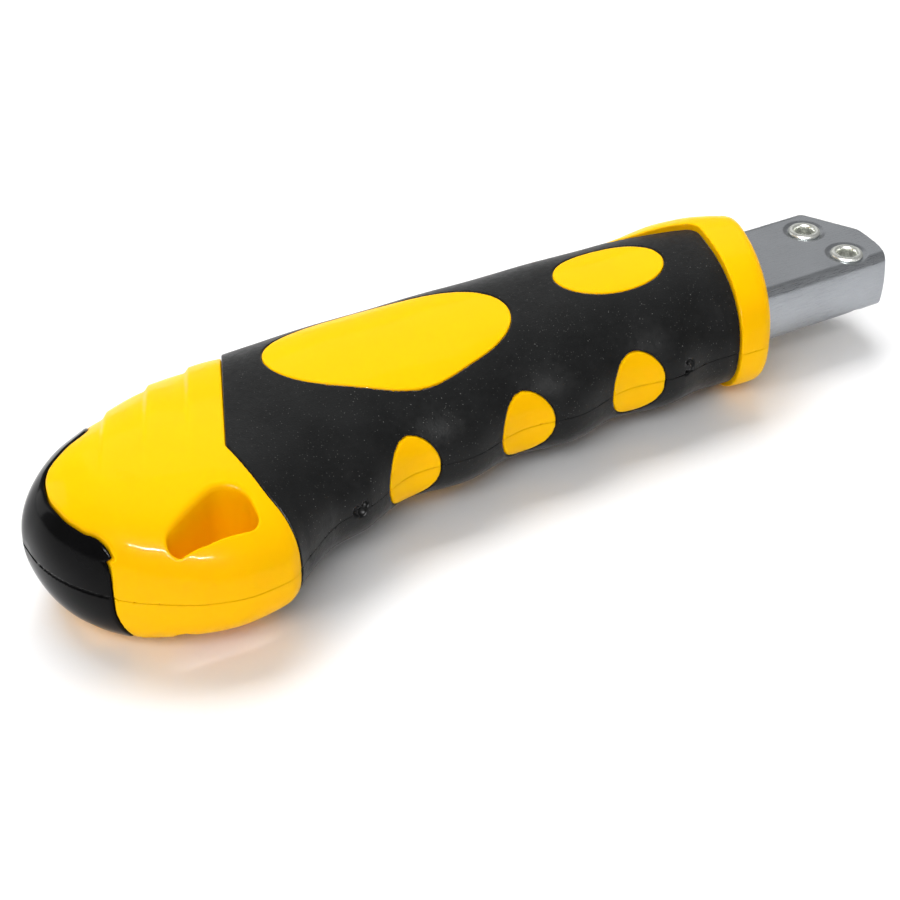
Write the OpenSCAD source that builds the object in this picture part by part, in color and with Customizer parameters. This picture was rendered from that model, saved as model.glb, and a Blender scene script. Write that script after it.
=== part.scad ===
// Snap-off utility knife with a two-part soft grip handle, a folded steel nose,
// a sliding 18 mm blade and a drawer of spare blades behind the tail cap.
// It lies on its left face: +X runs to the nose, +Y to the spine, +Z up through the right face.
// Inside the modules the butt is at x = 0 and the parting plane between the shells is at z = 0.

/* [Handle] */
// Overall length, butt to nose tip with the blade drawn in
total_len = 166; // [164:0.5:170]
// Length of the rounded closing of the butt
butt_round = 12; // [9:0.5:14]
// Thickness of the rubber over the shells
rubber_t = 1.6; // [1.2:0.1:1.8]
// Thickness of the shells' walls under the rubber
wall_t = 2.3; // [2:0.1:2.6]
// Depth of the waves between the finger hollows
wave_depth = 0.9; // [0:0.1:1.2]
// Distance from one finger hollow to the next
finger_pitch = 21.4; // [20.5:0.1:22]

/* [Blade] */
// Width of the snap-off blade
blade_w = 18; // [18:1:18]
// Length of the snap-off blade
blade_len = 100; // [96:1:100]
// Thickness of the blade
blade_t = 0.5; // [0.4:0.1:0.5]
// Distance between the blade's score lines
segment_len = 10; // [8:1:12]
// How far the blade slides out
blade_travel = 75; // [60:5:75]
// Distance between the lock notches
notch_pitch = 5; // [5:1:6]

/* [Thumb button] */
// Length of the thumb button
button_len = 18; // [16:0.5:18.5]
// Width of the thumb button
button_w = 12.4; // [10:0.2:12.6]
// How far the button presses in
button_press = 1.5; // [1:0.1:1.5]

/* [Nose] */
// Width of the nose's flat face
nose_w = 20.6; // [20.4:0.1:21]
// Thickness of the nose
nose_t = 11; // [10.6:0.1:11.4]
// Sheet thickness of the nose
sheet_t = 0.9; // [0.8:0.1:1]

/* [Spare blades] */
// Number of spare blades in the drawer
spare_count = 3; // [1:1:3]
// How far the tail drawer is drawn out to reach the blades
drawer_travel = 90; // [60:5:95]

/* [Hidden] */

// Side view of the handle: [distance from the butt, height], spine above and belly below
SPINE = [[0, 2], [6, 5.2], [12, 9], [20, 14.2], [30, 19.4], [42, 22.2], [60, 23], [95, 22],
         [120, 21.4], [134, 20.2], [146, 13.5]];
BELLY = [[0, -21.5], [6, -24.6], [12, -28.4], [18, -31.9], [25, -33.6], [31, -33], [36, -29.2],
         [44, -24], [60, -19.5], [90, -17], [124, -15.6], [132, -16.4], [146, -16.4]];
HALF_THICK = [[0, 11.2], [14, 12.8], [26, 12.6], [40, 11.3], [60, 11], [90, 11.2], [124, 11.7],
              [131, 12.8], [146, 12.8]];
// Edge between the tail cap and the shells: [height, distance from the butt]
CAP_EDGE = [[-40, 6.5], [-24.5, 6.5], [-23, 7.5], [-20, 6.8], [-17, 5.2], [-13, 4], [-9, 3.8],
            [-5.5, 4.5], [-2.5, 6.2], [0.5, 11], [5, 16.8], [8, 17.4], [20, 17.4]];
// Edge between the yellow tail and the rubber
GRIP_REAR = [[45, 26], [41.9, 13.6], [38.8, 5.9], [30.8, -12.4], [31.6, -22], [33.5, -30],
             [33.4, -40]];

section_power = 2.4;
butt_mid_y = -6;
half_thick = 12.8;
mid_y = (23 - 33.6) / 2;
shell_end = 146;
ring_step = 4.3;
ring_points = 24;
butt_rings = 8;
coarse_step = 11;
coarse_points = 12;
butt_x = butt_round * (1 - cos(90 / (butt_rings + 1)));

// The collar's front face and the rubber's front edge lean forward towards the spine
collar_x = 139;
collar_lean = 0.39;
rubber_x = 130.8;
rubber_lean = 0.29;
strip_start = 120;

// Blade line and the layers across the handle
axis_y = 2.1;
blade_rear = 62;
blade_play = 0.3;
channel_t = 0.6;
channel_half_z = 1.05;
channel_rear = 24;
channel_front = 150;
channel_lip = 2.3;
score_lean = 59;
nose_rear = 123;
nose_flange = 1;
guide_rear = 150.6;
rivet_at = [[156.9, 6.1], [158.3, -4.4]];
rivet_r = 2.3;
rivet_bore_r = 1.75;
rivet_head_r = 3;

carrier_rear = 31;
carrier_drop = 5.2;
carrier_half_w = 6.6;
block_front = 47.4;
button_top = -3.1;
button_under = -8.45;
button_face = -12.1;
trough_floor = -6.8;
trough_floor_t = 1.3;
stem_half_w = 2.4;
stem_rear = 34;
stem_front = 46;
pocket_gap = 0.3;

// Drawer behind the tail cap
tray_y0 = -11;
tray_y1 = 9.4;
tray_z0 = 1.5;
tray_z1 = 6;
tray_rear = 18;
tray_front = 122.2;
spare_x = 21;
tray_gap = 0.3;
plug_y0 = -13.5;
plug_y1 = -1.5;
plug_half_z = 6.5;
plug_rear = 5;

screw_at = [[41, 16.2], [108, 15.6], [40, -17.6]];
screw_r = 1.25;
screw_head_r = 2.5;
screw_head_z = -6.7;
screw_head_t = 1.4;
screw_end = 5;
insert_r = 2;
insert_z0 = 0.6;
insert_z1 = 5.8;
boss_r = 3.4;

// Smooth curve through a table of [position, value] pairs, with no overshoot
function secant(t, i) = (t[i + 1][1] - t[i][1]) / (t[i + 1][0] - t[i][0]);
function slope(t, i) =
    i == 0 ? secant(t, 0) :
    i == len(t) - 1 ? secant(t, i - 1) :
    secant(t, i - 1) * secant(t, i) <= 0 ? 0 :
    2 * secant(t, i - 1) * secant(t, i) / (secant(t, i - 1) + secant(t, i));
function span_of(t, x) = max([for (i = [0 : len(t) - 2]) if (i == 0 || t[i][0] <= x) i]);
function hermite(y0, y1, m0, m1, d, u) =
    y0 * (1 + 2 * u) * (1 - u) ^ 2 + m0 * d * u * (1 - u) ^ 2
    + y1 * u ^ 2 * (3 - 2 * u) + m1 * d * u ^ 2 * (u - 1);
function curve_at(t, x) =
    let (i = span_of(t, x), d = t[i + 1][0] - t[i][0])
    hermite(t[i][1], t[i + 1][1], slope(t, i), slope(t, i + 1), d, (x - t[i][0]) / d);

// The handle's skin: superellipse rings that close up towards the butt
function clamp01(v) = min(1, max(0, v));
function wave(x) =
    -wave_depth * cos(360 * (x - 49.3) / finger_pitch) * clamp01((x - 42) / 8) * clamp01((124 - x) / 10);
function closing(x) =
    x >= butt_round ? 1 : (1 - (1 - x / butt_round) ^ section_power) ^ (1 / section_power);
function spine_at(x) = butt_mid_y + (curve_at(SPINE, x) - butt_mid_y) * closing(x);
function belly_at(x) = butt_mid_y + (curve_at(BELLY, x) + wave(x) - butt_mid_y) * closing(x);
function thick_at(x) = curve_at(HALF_THICK, x) * closing(x);
function power(v) = sign(v) * abs(v) ^ (2 / section_power);
function ring(x, inset, n) =
    let (mid = (spine_at(x) + belly_at(x)) / 2, half = (spine_at(x) - belly_at(x)) / 2)
    [for (k = [0 : n - 1])
        let (a = 360 * k / n)
        [x, mid + (half - inset) * power(cos(a)), (thick_at(x) - inset) * power(sin(a))]];
function stations(x0, x1, step) =
    let (start = max(x0, butt_round), count = round((x1 - start) / step))
    concat(
        x0 > 0 ? [] : [for (k = [1 : butt_rings]) butt_round * (1 - cos(90 * k / (butt_rings + 1)))],
        [for (k = [0 : count]) start + (x1 - start) * k / count]);

// Closed body inside the handle's skin, "inset" below it, from x0 to x1
module skin(inset, x0, x1, step = ring_step, n = ring_points) {
    xs = stations(x0, x1, step);
    last = (len(xs) - 1) * n;
    points = [for (x = xs) each ring(x, inset, n)];
    sides = [for (i = [0 : len(xs) - 2], k = [0 : n - 1])
        let (a = i * n + k, b = i * n + (k + 1) % n)
        each [[a, b + n, b], [a, a + n, b + n]]];
    ends = [[for (k = [0 : n - 1]) k], [for (k = [n - 1 : -1 : 0]) last + k]];
    polyhedron(points, concat(sides, ends));
}

// Places everything with the origin below the middle of the handle, on the surface it lies on
module place() {
    translate([-(total_len + butt_x) / 2, -mid_y, half_thick]) children();
}

// Freeform pieces are worked out as one smooth mesh
module mesh() {
    resize([0, 0, 0]) children();
}

// Everything on one side of the parting plane: side = 1 right, side = -1 left
module half(side) {
    intersection() {
        children();
        translate([-10, -60, side > 0 ? 0 : -30]) cube([total_len + 20, 120, 30]);
    }
}

// Column through the handle above an outline in its side view
module through(z0 = -30, z1 = 30) {
    translate([0, 0, z0]) linear_extrude(z1 - z0) children();
}

module box(x0, x1, y0, y1, z0, z1) {
    translate([x0, y0, z0]) cube([x1 - x0, y1 - y0, z1 - z0]);
}

// Side-view outlines
module cap_area() {
    polygon(concat([[-5, -40]], [for (p = CAP_EDGE) [p[1], p[0]]], [[-5, 20]]));
}

module behind_collar_face() {
    polygon([[-5, -60], [collar_x - 60 * collar_lean, -60], [collar_x + 60 * collar_lean, 60],
             [-5, 60]]);
}

module rubber_area() {
    difference() {
        polygon(concat(GRIP_REAR, [[rubber_x - 40 * rubber_lean, -40],
                                   [rubber_x + 26 * rubber_lean, 26]]));
        polygon([[strip_start - 3, 14.2], [strip_start + 10, 10.2], [strip_start + 30, 10.2],
                 [strip_start + 30, 40], [strip_start - 3, 40]]);
    }
}

module oval(x, y, long, high, turn) {
    translate([x, y]) rotate(turn) scale([long, high]) circle(1, $fn = 48);
}

module lanyard_outline() {
    hull() {
        translate([25.3, -24.4]) circle(3.7, $fn = 48);
        translate([26.6, -26.6]) circle(2.3, $fn = 32);
        translate([16.6, -26.6]) circle(1.8, $fn = 32);
    }
}

// Flush windows through the rubber
module windows() {
    through() oval(68.8, 4.5, 21.8, 13.9, -5.1);
    through() oval(111.7, 4.4, 10.5, 7.7, 0.4);
    for (i = [0 : 2])
        translate([59.6 + i * 22.6, -8, 0]) rotate([90, 0, 0])
            linear_extrude(20) scale([5.2, 5.9]) circle(1, $fn = 40);
}

// The rubber: everything near the surface inside its outline, around the windows
module rubber_blank() {
    difference() {
        intersection() {
            skin(0, 0, shell_end);
            through() rubber_area();
        }
        skin(rubber_t, 26, shell_end + 1);
        windows();
    }
}

// The same room, open outwards, for cutting the shells
module rubber_room() {
    difference() {
        through() rubber_area();
        skin(rubber_t, 26, shell_end + 1);
        windows();
    }
}

// Track under the thumb button: an open trough and the slot in its floor
module trough(margin) {
    box(carrier_rear - 1.6 - margin, carrier_rear + button_len + blade_travel + 1.6 + margin,
        axis_y - 7 - margin, axis_y + 7 + margin, -30, trough_floor);
}

module slot() {
    box(stem_rear - 1.5, stem_front + blade_travel + 1.5,
        axis_y - stem_half_w - 0.4, axis_y + stem_half_w + 0.4, -30, 0);
}

// Room for the blade channel, the carrier and the drawer
module mechanism_room() {
    box(channel_rear - 0.3, nose_rear + 1, axis_y - 10.1, axis_y + 10.1, -1.3, 1.25);
    box(carrier_rear - 1, nose_rear + 1, axis_y - 7, axis_y + 7, -carrier_drop - 0.2, 1);
    box(0, tray_front + 0.5, tray_y0 - 0.3, tray_y1 + 0.3, tray_z0 - 0.3, tray_z1 + 0.3);
    box(0, tray_rear + 0.8, plug_y0 - 0.3, plug_y1 + 0.3, -plug_half_z - 0.3, plug_half_z + 0.3);
    translate([nose_rear - 0.1, axis_y, 0]) rotate([90, 0, 90])
        linear_extrude(1.3) nose_section(nose_flange + 0.1);
    translate([nose_rear + 1, axis_y, 0]) rotate([90, 0, 90])
        linear_extrude(40) nose_section(0.1);
}

// Everything that both shells are cut by
module shell_blank() {
    difference() {
        intersection() {
            skin(0, 0, shell_end);
            through() behind_collar_face();
        }
        through() cap_area();
        rubber_room();
        through() lanyard_outline();
    }
}

// Hollow inside the walls, with three cross ribs and the screw bosses left standing
module shell_hollow() {
    difference() {
        skin(rubber_t + wall_t, 31, nose_rear - 3, coarse_step, coarse_points);
        for (x = [52, 76, 100])
            box(x, x + 1.8, -40, 40, -20, 20);
        for (p = screw_at)
            translate([p[0], p[1], -20]) cylinder(r = boss_r, h = 40, $fn = 32);
    }
}

module screw_holes() {
    for (p = screw_at) {
        translate([p[0], p[1], -20]) cylinder(r = screw_r + 0.2, h = 20 + screw_end + 1, $fn = 32);
        translate([p[0], p[1], -20])
            cylinder(r = screw_head_r + 0.25, h = 20 + screw_head_z + screw_head_t, $fn = 32);
        translate([p[0], p[1], insert_z0 - 1])
            cylinder(r = insert_r + 0.05, h = insert_z1 - insert_z0 + 1, $fn = 32);
    }
}

module trough_floor_plate() {
    box(carrier_rear - 3, carrier_rear + button_len + blade_travel + 3, axis_y - 9, axis_y + 9,
        trough_floor, trough_floor + trough_floor_t);
}

module trough_walls() {
    intersection() {
        box(carrier_rear - 3, carrier_rear + button_len + blade_travel + 3, axis_y - 8.6, axis_y + 8.6,
            -14, trough_floor + trough_floor_t);
        skin(rubber_t, 20, shell_end);
    }
}

module body_right() {
    color("gold") place() mesh() half(1) difference() {
        shell_blank();
        shell_hollow();
        mechanism_room();
        screw_holes();
    }
}

module body_left() {
    color("gold") place() mesh() half(-1) difference() {
        union() {
            difference() {
                shell_blank();
                shell_hollow();
            }
            trough_floor_plate();
            trough_walls();
        }
        mechanism_room();
        trough(0);
        slot();
        screw_holes();
    }
}

module grip_right() {
    color("dimgray") place() mesh() half(1) rubber_blank();
}

module grip_left() {
    color("dimgray") place() mesh() half(-1) difference() {
        rubber_blank();
        trough(1.6);
        screw_holes();
    }
}

// Nose: a folded sheet with a flat on each side and slightly bowed edges
module nose_section(grow) {
    w = nose_w / 2 + grow;
    t = nose_t / 2 + grow;
    bow = 0.9;
    polygon([[w, t], [-w, t], [-w - bow, t * 0.35], [-w - bow, -t * 0.35], [-w, -t], [w, -t],
             [w + bow, -t * 0.35], [w + bow, t * 0.35]]);
}

// Side view of the nose: its spine half is cut back steeply, its belly half slightly
module nose_outline() {
    polygon([[nose_rear, -20], [164, -20], [164.2, -8.6], [165.6, -4.5], [total_len, 0.6],
             [total_len - 0.2, 2], [160.2, 12.4], [158, 20], [nose_rear, 20]]);
}

module nose_shell() {
    color("silver") place() difference() {
        intersection() {
            union() {
                translate([nose_rear, axis_y, 0]) rotate([90, 0, 90])
                    linear_extrude(total_len - nose_rear) nose_section(0);
                translate([nose_rear, axis_y, 0]) rotate([90, 0, 90])
                    linear_extrude(1) nose_section(nose_flange);
            }
            through() nose_outline();
        }
        translate([nose_rear - 1, axis_y, 0]) rotate([90, 0, 90])
            linear_extrude(60) nose_section(-sheet_t);
        for (p = rivet_at)
            translate([p[0], p[1], -10]) cylinder(r = rivet_r, h = 20, $fn = 48);
    }
}

// Guide blocks riveted inside the nose, above and below the blade
module guide(z0) {
    difference() {
        translate([0, 0, z0]) linear_extrude(nose_t / 2 - sheet_t - 0.45)
            polygon([[guide_rear, axis_y - 9.2], [162.6, axis_y - 9.2], [163.8, 0.6], [159.3, axis_y + 9.2],
                     [guide_rear, axis_y + 9.2]]);
        for (p = rivet_at)
            translate([p[0], p[1], z0 - 1]) cylinder(r = rivet_r, h = 8, $fn = 48);
    }
}

module guide_right() {
    color("gray") place() guide(0.45);
}

module guide_left() {
    color("gray") place() guide(sheet_t - nose_t / 2);
}

// Hollow rivet with a rolled head on the outside of the nose
module rivet(x, y) {
    translate([x, y, 0]) rotate_extrude($fn = 48)
        polygon([[rivet_bore_r, 0.55], [rivet_r, 0.55], [rivet_r, nose_t / 2],
                 [rivet_head_r, nose_t / 2], [rivet_head_r - 0.1, nose_t / 2 + 0.35],
                 [rivet_r + 0.2, nose_t / 2 + 0.55], [rivet_bore_r + 0.25, nose_t / 2 + 0.5],
                 [rivet_bore_r, nose_t / 2 + 0.2]]);
}

module rivets_right() {
    color("silver") place() for (p = rivet_at) rivet(p[0], p[1]);
}

module rivets_left() {
    color("silver") place() mirror([0, 0, 1]) for (p = rivet_at) rivet(p[0], p[1]);
}

// C-shaped track that the blade and its carrier slide in
module blade_channel() {
    inner = blade_w / 2 + blade_play;
    lip_z = channel_half_z - channel_t;
    color("lightsteelblue") place() difference() {
        box(channel_rear, channel_front, axis_y - inner - channel_t, axis_y + inner + channel_t,
            -channel_half_z, channel_half_z);
        box(channel_rear - 1, channel_front + 1, axis_y - inner, axis_y + inner, -lip_z, lip_z);
        box(channel_rear - 1, channel_front + 1, axis_y - inner + channel_lip,
            axis_y + inner - channel_lip, -2, 0);
        for (k = [0 : round(blade_travel / notch_pitch)], side = [-1, 1])
            box(42.9 + k * notch_pitch, 45.7 + k * notch_pitch,
                axis_y + side * 7.6 - 0.9, axis_y + side * 7.6 + 0.9, -2, -lip_z + 0.01);
    }
}

// Snap-off blade: the score lines lean like the point, the edge is bevelled
module blade_blank() {
    slant = blade_w / tan(score_lean);
    polygon([[0, 0], [blade_len, 0], [blade_len - slant, blade_w], [2, blade_w], [0, blade_w - 2]]);
}

module blade() {
    slant = blade_w / tan(score_lean);
    score = 0.08;
    bevel = 2.2;
    stud_x = 5;
    color("gainsboro") place() translate([blade_rear, axis_y - blade_w / 2, -blade_t / 2])
        difference() {
            linear_extrude(blade_t) blade_blank();
            translate([stud_x, blade_w / 2, -1]) cylinder(r = 3, h = 3, $fn = 48);
            for (k = [1 : floor((blade_len - 24) / segment_len)])
                translate([blade_len - k * segment_len, 0, blade_t - score])
                    linear_extrude(1) polygon([[0, -1], [0.4, -1], [0.4 - slant * 20 / 18, 19],
                                               [-slant * 20 / 18, 19]]);
            for (side = [0, 1])
                translate([-1, 0, side * blade_t]) rotate([0, 90, 0])
                    linear_extrude(blade_len + 2)
                        polygon([[0, -1], [(side * 2 - 1) * (blade_t / 2 - 0.04), -1],
                                 [(side * 2 - 1) * (blade_t / 2 - 0.04), 0], [0, bevel]]);
        }
}

// Sled that carries the blade on a stud and takes the thumb button's stem
module blade_carrier() {
    stud_x = blade_rear + 5;
    color("darkslategray") place() union() {
        difference() {
            union() {
                box(carrier_rear, block_front, axis_y - carrier_half_w, axis_y + carrier_half_w,
                    -carrier_drop, 0.25);
                box(carrier_rear + 2, blade_rear - 0.5, axis_y - 8.9, axis_y + 8.9, -0.3, 0.25);
                box(block_front - 1, 74, axis_y - carrier_half_w, axis_y + carrier_half_w, -2.6, -0.3);
            }
            box(stem_rear - 0.4, stem_front + 0.4, axis_y - stem_half_w - 0.35,
                axis_y + stem_half_w + 0.35, -10, 5);
            box(42.4, 46.4, axis_y - 12, axis_y + 12, -1.4, 5);
        }
        translate([stud_x, axis_y, -0.4]) cylinder(r = 2.9, h = 0.75, $fn = 48);
    }
}

// Bowed leaf with two ears that drop into the channel's notches
module lock_spring() {
    leaf_t = 0.35;
    rest_z = -0.9;
    color("slategray") place() union() {
        translate([0, axis_y + stem_half_w, 0]) rotate([90, 0, 0]) linear_extrude(stem_half_w * 2)
            polygon([[34, rest_z], [34, rest_z + leaf_t], [46, rest_z + leaf_t], [46, rest_z],
                     [45, rest_z], [40, button_top + 0.1], [35, rest_z]]);
        for (side = [-1, 1])
            box(43.4, 45.2, axis_y + (side > 0 ? stem_half_w - 0.1 : -8),
                axis_y + (side > 0 ? 8 : 0.1 - stem_half_w), rest_z, rest_z + leaf_t);
    }
}

// Thumb button with grip ribs, on a stem through the slot
module thumb_button() {
    rib_count = 5;
    rib_step = 2.6;
    color("dimgray") place() union() {
        difference() {
            translate([0, 0, button_face]) linear_extrude(button_under - button_face)
                translate([carrier_rear + 2, axis_y - button_w / 2 + 2])
                    offset(2, $fn = 32) square([button_len - 4, button_w - 4]);
            for (k = [0 : rib_count - 1])
                box(carrier_rear + button_len / 2 + (k - (rib_count - 1) / 2) * rib_step - 0.5,
                    carrier_rear + button_len / 2 + (k - (rib_count - 1) / 2) * rib_step + 0.5,
                    axis_y - button_w, axis_y + button_w, button_face - 1, button_face + 0.7);
        }
        box(stem_rear, stem_front, axis_y - stem_half_w, axis_y + stem_half_w,
            button_under - 0.5, button_top);
    }
}

// Soft bumper over the butt
module tail_cap() {
    color("dimgray") place() mesh() difference() {
        intersection() {
            skin(0, 0, 40);
            translate([-0.15, 0, 0]) through() cap_area();
        }
        box(plug_rear, 40, plug_y0, plug_y1, -plug_half_z, plug_half_z);
    }
}

// Hard plug inside the bumper: it closes the handle and carries the drawer
module cap_core() {
    color("black") place()
        box(plug_rear, tray_rear, plug_y0, plug_y1, -plug_half_z, plug_half_z);
}

// Drawer with a floor, two walls and two ends
module magazine_tray() {
    wall = 0.8;
    color("orange") place() difference() {
        box(tray_rear, tray_front, tray_y0, tray_y1, tray_z0, tray_z1);
        box(spare_x - 0.5, tray_front - wall, tray_y0 + wall, tray_y1 - wall, tray_z0 - 1,
            tray_z1 - wall);
    }
}

module spare_blades() {
    color("gainsboro") place() for (k = [0 : spare_count - 1])
        translate([spare_x - 0.2, (tray_y0 + tray_y1) / 2 - blade_w / 2,
                   tray_z0 + tray_gap + k * (blade_t + 0.15)])
            linear_extrude(blade_t) blade_blank();
}

// Bowed leaf that holds the spare blades down
module tray_spring() {
    low_z = tray_z0 + tray_gap + spare_count * (blade_t + 0.15) + 0.05;
    high_z = tray_z1 - 0.9;
    color("slategray") place() translate([0, (tray_y0 + tray_y1) / 2 + 4, 0]) rotate([90, 0, 0])
        linear_extrude(8)
            polygon([[40, high_z], [44, high_z], [71, low_z + 0.3], [98, high_z], [102, high_z],
                     [102, high_z - 0.3], [98, high_z - 0.3], [71, low_z], [44, high_z - 0.3],
                     [40, high_z - 0.3]]);
}

module body_screws() {
    color("silver") place() for (p = screw_at)
        translate([p[0], p[1], 0]) difference() {
            union() {
                translate([0, 0, screw_head_z]) cylinder(r = screw_head_r, h = screw_head_t, $fn = 48);
                translate([0, 0, screw_head_z]) cylinder(r = screw_r, h = screw_end - screw_head_z, $fn = 32);
            }
            for (turn = [0, 90])
                rotate(turn) translate([-1.7, -0.35, screw_head_z - 1]) cube([3.4, 0.7, 2]);
        }
}

module screw_inserts() {
    color("goldenrod") place() for (p = screw_at)
        translate([p[0], p[1], insert_z0]) difference() {
            cylinder(r = insert_r, h = insert_z1 - insert_z0, $fn = 48);
            translate([0, 0, -1]) cylinder(r = screw_r + 0.03, h = 10, $fn = 48);
        }
}

body_right();
body_left();
grip_right();
grip_left();
nose_shell();
guide_right();
guide_left();
rivets_right();
rivets_left();
blade_channel();
blade();
blade_carrier();
lock_spring();
thumb_button();
tail_cap();
cap_core();
magazine_tray();
spare_blades();
tray_spring();
body_screws();
screw_inserts();
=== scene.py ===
import math

import bpy
import numpy as np
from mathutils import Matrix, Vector


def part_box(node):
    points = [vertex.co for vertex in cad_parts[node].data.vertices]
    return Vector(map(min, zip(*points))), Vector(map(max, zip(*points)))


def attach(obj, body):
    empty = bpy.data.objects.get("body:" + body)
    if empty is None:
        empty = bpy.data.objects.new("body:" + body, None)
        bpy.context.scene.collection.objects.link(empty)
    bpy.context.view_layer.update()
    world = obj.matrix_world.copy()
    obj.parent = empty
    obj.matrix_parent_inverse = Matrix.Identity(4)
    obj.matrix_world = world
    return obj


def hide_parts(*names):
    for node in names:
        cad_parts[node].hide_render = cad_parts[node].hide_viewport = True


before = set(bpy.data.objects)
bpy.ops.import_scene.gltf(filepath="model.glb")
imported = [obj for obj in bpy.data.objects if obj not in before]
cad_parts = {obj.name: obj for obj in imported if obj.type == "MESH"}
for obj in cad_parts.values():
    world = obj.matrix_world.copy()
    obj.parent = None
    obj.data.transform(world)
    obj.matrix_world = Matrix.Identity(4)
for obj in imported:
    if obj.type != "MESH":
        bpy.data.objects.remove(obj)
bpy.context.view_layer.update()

# ---------------------------------------------------------------- frame
# The knife is described in millimetres with its butt at x = 0, the parting plane at z = 0
# and +y towards the spine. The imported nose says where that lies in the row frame.
MM = 0.001
NOSE_TIP = 166.0
AXIS_Y = 2.1
nose_low, nose_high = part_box("nose_shell")
ORIGIN = Vector((nose_high.x - NOSE_TIP * MM, (nose_low.y + nose_high.y) / 2 - AXIS_Y * MM,
                 (nose_low.z + nose_high.z) / 2))


def to_row(x, y, z):
    return ORIGIN + Vector((x, y, z)) * MM


# ---------------------------------------------------------------- camera
CAMERA_AT = (-65.4, -244.1, 183.2)
CAMERA_HEADING = math.radians(59.7)
CAMERA_DOWN = math.radians(34.69)


def place_camera():
    data = bpy.data.cameras.new("camera")
    data.sensor_width = 36.0
    data.lens = 80.0
    data.clip_start = 0.01
    camera = bpy.data.objects.new("camera", data)
    bpy.context.scene.collection.objects.link(camera)
    camera.location = to_row(*CAMERA_AT)
    forward = Vector((math.cos(CAMERA_HEADING) * math.cos(CAMERA_DOWN),
                      math.sin(CAMERA_HEADING) * math.cos(CAMERA_DOWN), -math.sin(CAMERA_DOWN)))
    camera.rotation_euler = forward.to_track_quat("-Z", "Y").to_euler()
    bpy.context.scene.camera = camera


place_camera()


# ---------------------------------------------------------------- handle curves
# Side view of the handle: (distance from the butt, height)
SPINE = ((0, 2), (6, 5.2), (12, 9), (20, 14.2), (30, 19.4), (42, 22.2), (60, 23), (95, 22),
         (120, 20.6), (134, 19.2), (146, 12.6))
BELLY = ((0, -21.5), (6, -24.6), (12, -28.4), (18, -31.9), (25, -33.6), (31, -33), (36, -29.2),
         (44, -24), (60, -19.5), (90, -17), (124, -15.4), (134, -15.4), (146, -15.4))
HALF_THICK = ((0, 11.2), (14, 12.8), (26, 12.6), (40, 11.3), (60, 11), (90, 11.2), (124, 11.6),
              (134, 11.7), (146, 11.6))
BUTT_MID_Y = -6.0
BUTT_ROUND = 12.0
SECTION_POWER = 2.4
# Finger waves along the belly
WAVE_DEPTH = 0.9
FINGER_PITCH = 21.4
WAVE_CREST = 49.3
WAVE_START, WAVE_RISE = 42, 8
WAVE_END, WAVE_FALL = 124, 10


def curve(knots, at):
    """Smooth curve through the knots that never swings past them."""
    x, y = np.array(knots, float).T
    secant = np.diff(y) / np.diff(x)
    rising = secant[:-1] * secant[1:]
    total = secant[:-1] + secant[1:]
    inner = np.where(rising > 0, 2 * rising / np.where(np.abs(total) < 1e-9, 1, total), 0)
    slope = np.concatenate([secant[:1], inner, secant[-1:]])
    i = np.clip(np.searchsorted(x, at, side="right") - 1, 0, len(secant) - 1)
    width = x[i + 1] - x[i]
    u = (at - x[i]) / width
    return (y[i] * (1 + 2 * u) * (1 - u) ** 2 + slope[i] * width * u * (1 - u) ** 2
            + y[i + 1] * u ** 2 * (3 - 2 * u) + slope[i + 1] * width * u ** 2 * (u - 1))


TABLE_X = np.arange(0.01, 150.0, 0.05)
BUTT_FLAT = 0.05           # the closing sections are cut off flat here


def skin_tables():
    """Middle height, half height and half thickness along the handle, with their slopes."""
    closing = 1 - np.clip(1 - TABLE_X / BUTT_ROUND, 0, 1) ** SECTION_POWER
    closing = closing ** (1 / SECTION_POWER)
    reach = np.clip((TABLE_X - WAVE_START) / WAVE_RISE, 0, 1)
    reach = reach * np.clip((WAVE_END - TABLE_X) / WAVE_FALL, 0, 1)
    wave = -WAVE_DEPTH * np.cos(2 * np.pi * (TABLE_X - WAVE_CREST) / FINGER_PITCH) * reach
    spine = BUTT_MID_Y + (curve(SPINE, TABLE_X) - BUTT_MID_Y) * closing
    belly = BUTT_MID_Y + (curve(BELLY, TABLE_X) + wave - BUTT_MID_Y) * closing
    thick = curve(HALF_THICK, TABLE_X) * closing
    rows = [(spine + belly) / 2, (spine - belly) / 2, thick]
    return rows + [np.gradient(r, TABLE_X) for r in rows]


MIDDLE, HALF, THICK, D_MIDDLE, D_HALF, D_THICK = skin_tables()


# ---------------------------------------------------------------- fields
# A field gives, for points in millimetres, how far outside a shape they are (inside is negative).
def soft_max(a, b, k):
    """The larger of two fields, with the crease between them rounded."""
    h = np.clip(0.5 + 0.5 * (a - b) / k, 0, 1)
    return b * (1 - h) + a * h + k * h * (1 - h)


def soft_min(a, b, k):
    """The smaller of two fields, with the crease between them filled."""
    return -soft_max(-a, -b, k)


def skin(p):
    """The handle's outer surface: superellipse sections that close at the butt."""
    x, y, z = p
    rows = [np.interp(x, TABLE_X, r) for r in (MIDDLE, HALF, THICK, D_MIDDLE, D_HALF, D_THICK)]
    middle, half, thick, d_middle, d_half, d_thick = rows
    n = SECTION_POWER
    a = np.abs(y - middle) / half
    c = np.abs(z) / thick
    rho = np.maximum((a ** n + c ** n) ** (1 / n), 1e-6)
    wa = (a / rho) ** (n - 1)
    wc = (c / rho) ** (n - 1)
    slope_x = wa * (-np.sign(y - middle) * d_middle - a * d_half) / half - wc * c * d_thick / thick
    steep = np.sqrt((wa / half) ** 2 + (wc / thick) ** 2 + slope_x ** 2)
    return np.maximum((rho - 1) / steep, BUTT_FLAT - x)


def smooth_step(u):
    """Rises from 0 to 1 with a level start and end."""
    u = np.clip(u, 0, 1)
    return u * u * (3 - 2 * u)


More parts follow.
